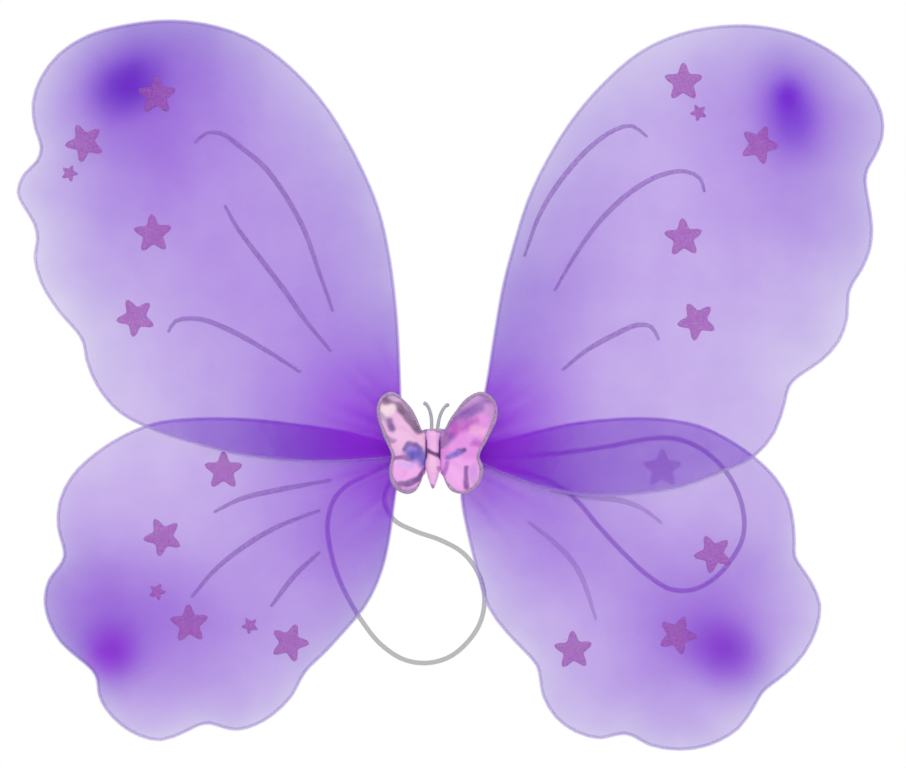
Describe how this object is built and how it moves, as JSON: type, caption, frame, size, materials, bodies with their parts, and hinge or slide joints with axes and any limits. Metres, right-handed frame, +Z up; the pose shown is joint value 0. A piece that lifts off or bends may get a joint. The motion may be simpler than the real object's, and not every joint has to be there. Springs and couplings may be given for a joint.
{
  "type": "fairy wings",
  "caption": "Child's costume fairy wings: wire frames in sheer violet nylon net with glitter stars, a satin butterfly at the middle and elastic arm loops.",
  "frame": {"origin": "centre of the back pad's flat face, which rests on the wearer's back", "axes": "+Z up, +Y out of the pad into the wearer's back, +X to the right as seen from behind the wearer, facing the decorated side"},
  "size_m": [0.4589, 0.0246, 0.387],
  "materials": {
    "steel_wire": "steel wire in a milky lilac plastic coat",
    "nylon_net": "sheer stretch nylon net, airbrushed violet at the root and in one soft spot near each tip",
    "thread": "wound polyester thread",
    "glitter": "raised glitter glue, pink-mauve",
    "glitter_line": "raised glitter glue, violet",
    "felt": "pressed felt",
    "glue": "cloudy hot-melt glue",
    "tape": "woven tape",
    "elastic": "braided round elastic",
    "satin": "printed satin over thin wadding",
    "glitter_edging": "glitter paint",
    "antenna": "waxed cord"
  },
  "bodies": {
    "hub": {"back_pad": "felt", "back_glue": "glue", "binding_tape": "tape", "left_wire_tails": "steel_wire", "right_wire_tails": "steel_wire", "front_glue": "glue", "left_elastic_roots": "elastic", "right_elastic_roots": "elastic", "elastic_stitches": "thread", "ornament_body": "satin", "ornament_antennae": "antenna"},
    "left_lower_wing": {"left_lower_wire": "steel_wire", "left_lower_net": "nylon_net", "left_lower_tie": "thread", "left_lower_stars": "glitter", "left_lower_veins": "glitter_line"},
    "left_upper_wing": {"left_upper_wire": "steel_wire", "left_upper_net": "nylon_net", "left_upper_tie": "thread", "left_upper_stars": "glitter", "left_upper_veins": "glitter_line"},
    "right_lower_wing": {"right_lower_wire": "steel_wire", "right_lower_net": "nylon_net", "right_lower_tie": "thread", "right_lower_stars": "glitter", "right_lower_veins": "glitter_line"},
    "right_upper_wing": {"right_upper_wire": "steel_wire", "right_upper_net": "nylon_net", "right_upper_tie": "thread", "right_upper_stars": "glitter", "right_upper_veins": "glitter_line"},
    "ornament_left": {"ornament_left_wing": "satin", "ornament_left_edging": "glitter_edging"},
    "left_loop": {"left_arm_loop": "elastic"},
    "ornament_right": {"ornament_right_wing": "satin", "ornament_right_edging": "glitter_edging"},
    "right_loop": {"right_arm_loop": "elastic"}
  },
  "joints": [
    {"name": "left_fold", "type": "hinge", "parent": "hub", "child": "left_lower_wing", "pos_m": [-0.01, -0.011, 0], "axis": [0, 0, 1], "range_deg": [0, 60]},
    {"name": "left_upper_bend", "type": "hinge", "parent": "left_lower_wing", "child": "left_upper_wing", "pos_m": [-0.01, -0.011, 0], "axis": [0, 0, 1], "range_deg": [0, 15]},
    {"name": "ornament_left_flex", "type": "hinge", "parent": "hub", "child": "ornament_left", "pos_m": [-0.0077, -0.0163, 0], "axis": [0, 0, 1], "range_deg": [0, 60]},
    {"name": "right_fold", "type": "hinge", "parent": "hub", "child": "right_lower_wing", "pos_m": [0.01, -0.011, 0], "axis": [0, 0, -1], "range_deg": [0, 60]},
    {"name": "right_upper_bend", "type": "hinge", "parent": "right_lower_wing", "child": "right_upper_wing", "pos_m": [0.01, -0.011, 0], "axis": [0, 0, -1], "range_deg": [0, 15]},
    {"name": "ornament_right_flex", "type": "hinge", "parent": "hub", "child": "ornament_right", "pos_m": [0.0033, -0.0163, 0], "axis": [0, 0, -1], "range_deg": [0, 60]},
    {"name": "left_loop_swing", "type": "hinge", "parent": "hub", "child": "left_loop", "pos_m": [-0.016, -0.0042, -0.004], "axis": [1, 0, 0], "range_deg": [0, 90]},
    {"name": "right_loop_swing", "type": "hinge", "parent": "hub", "child": "right_loop", "pos_m": [0.016, -0.0042, -0.004], "axis": [0.9945, 0, 0.1045], "range_deg": [0, 90]}
  ],
  "couplings": [
    {"joint": "ornament_left_flex", "follows": "left_fold", "ratio": 1},
    {"joint": "ornament_right_flex", "follows": "right_fold", "ratio": 1}
  ]
}
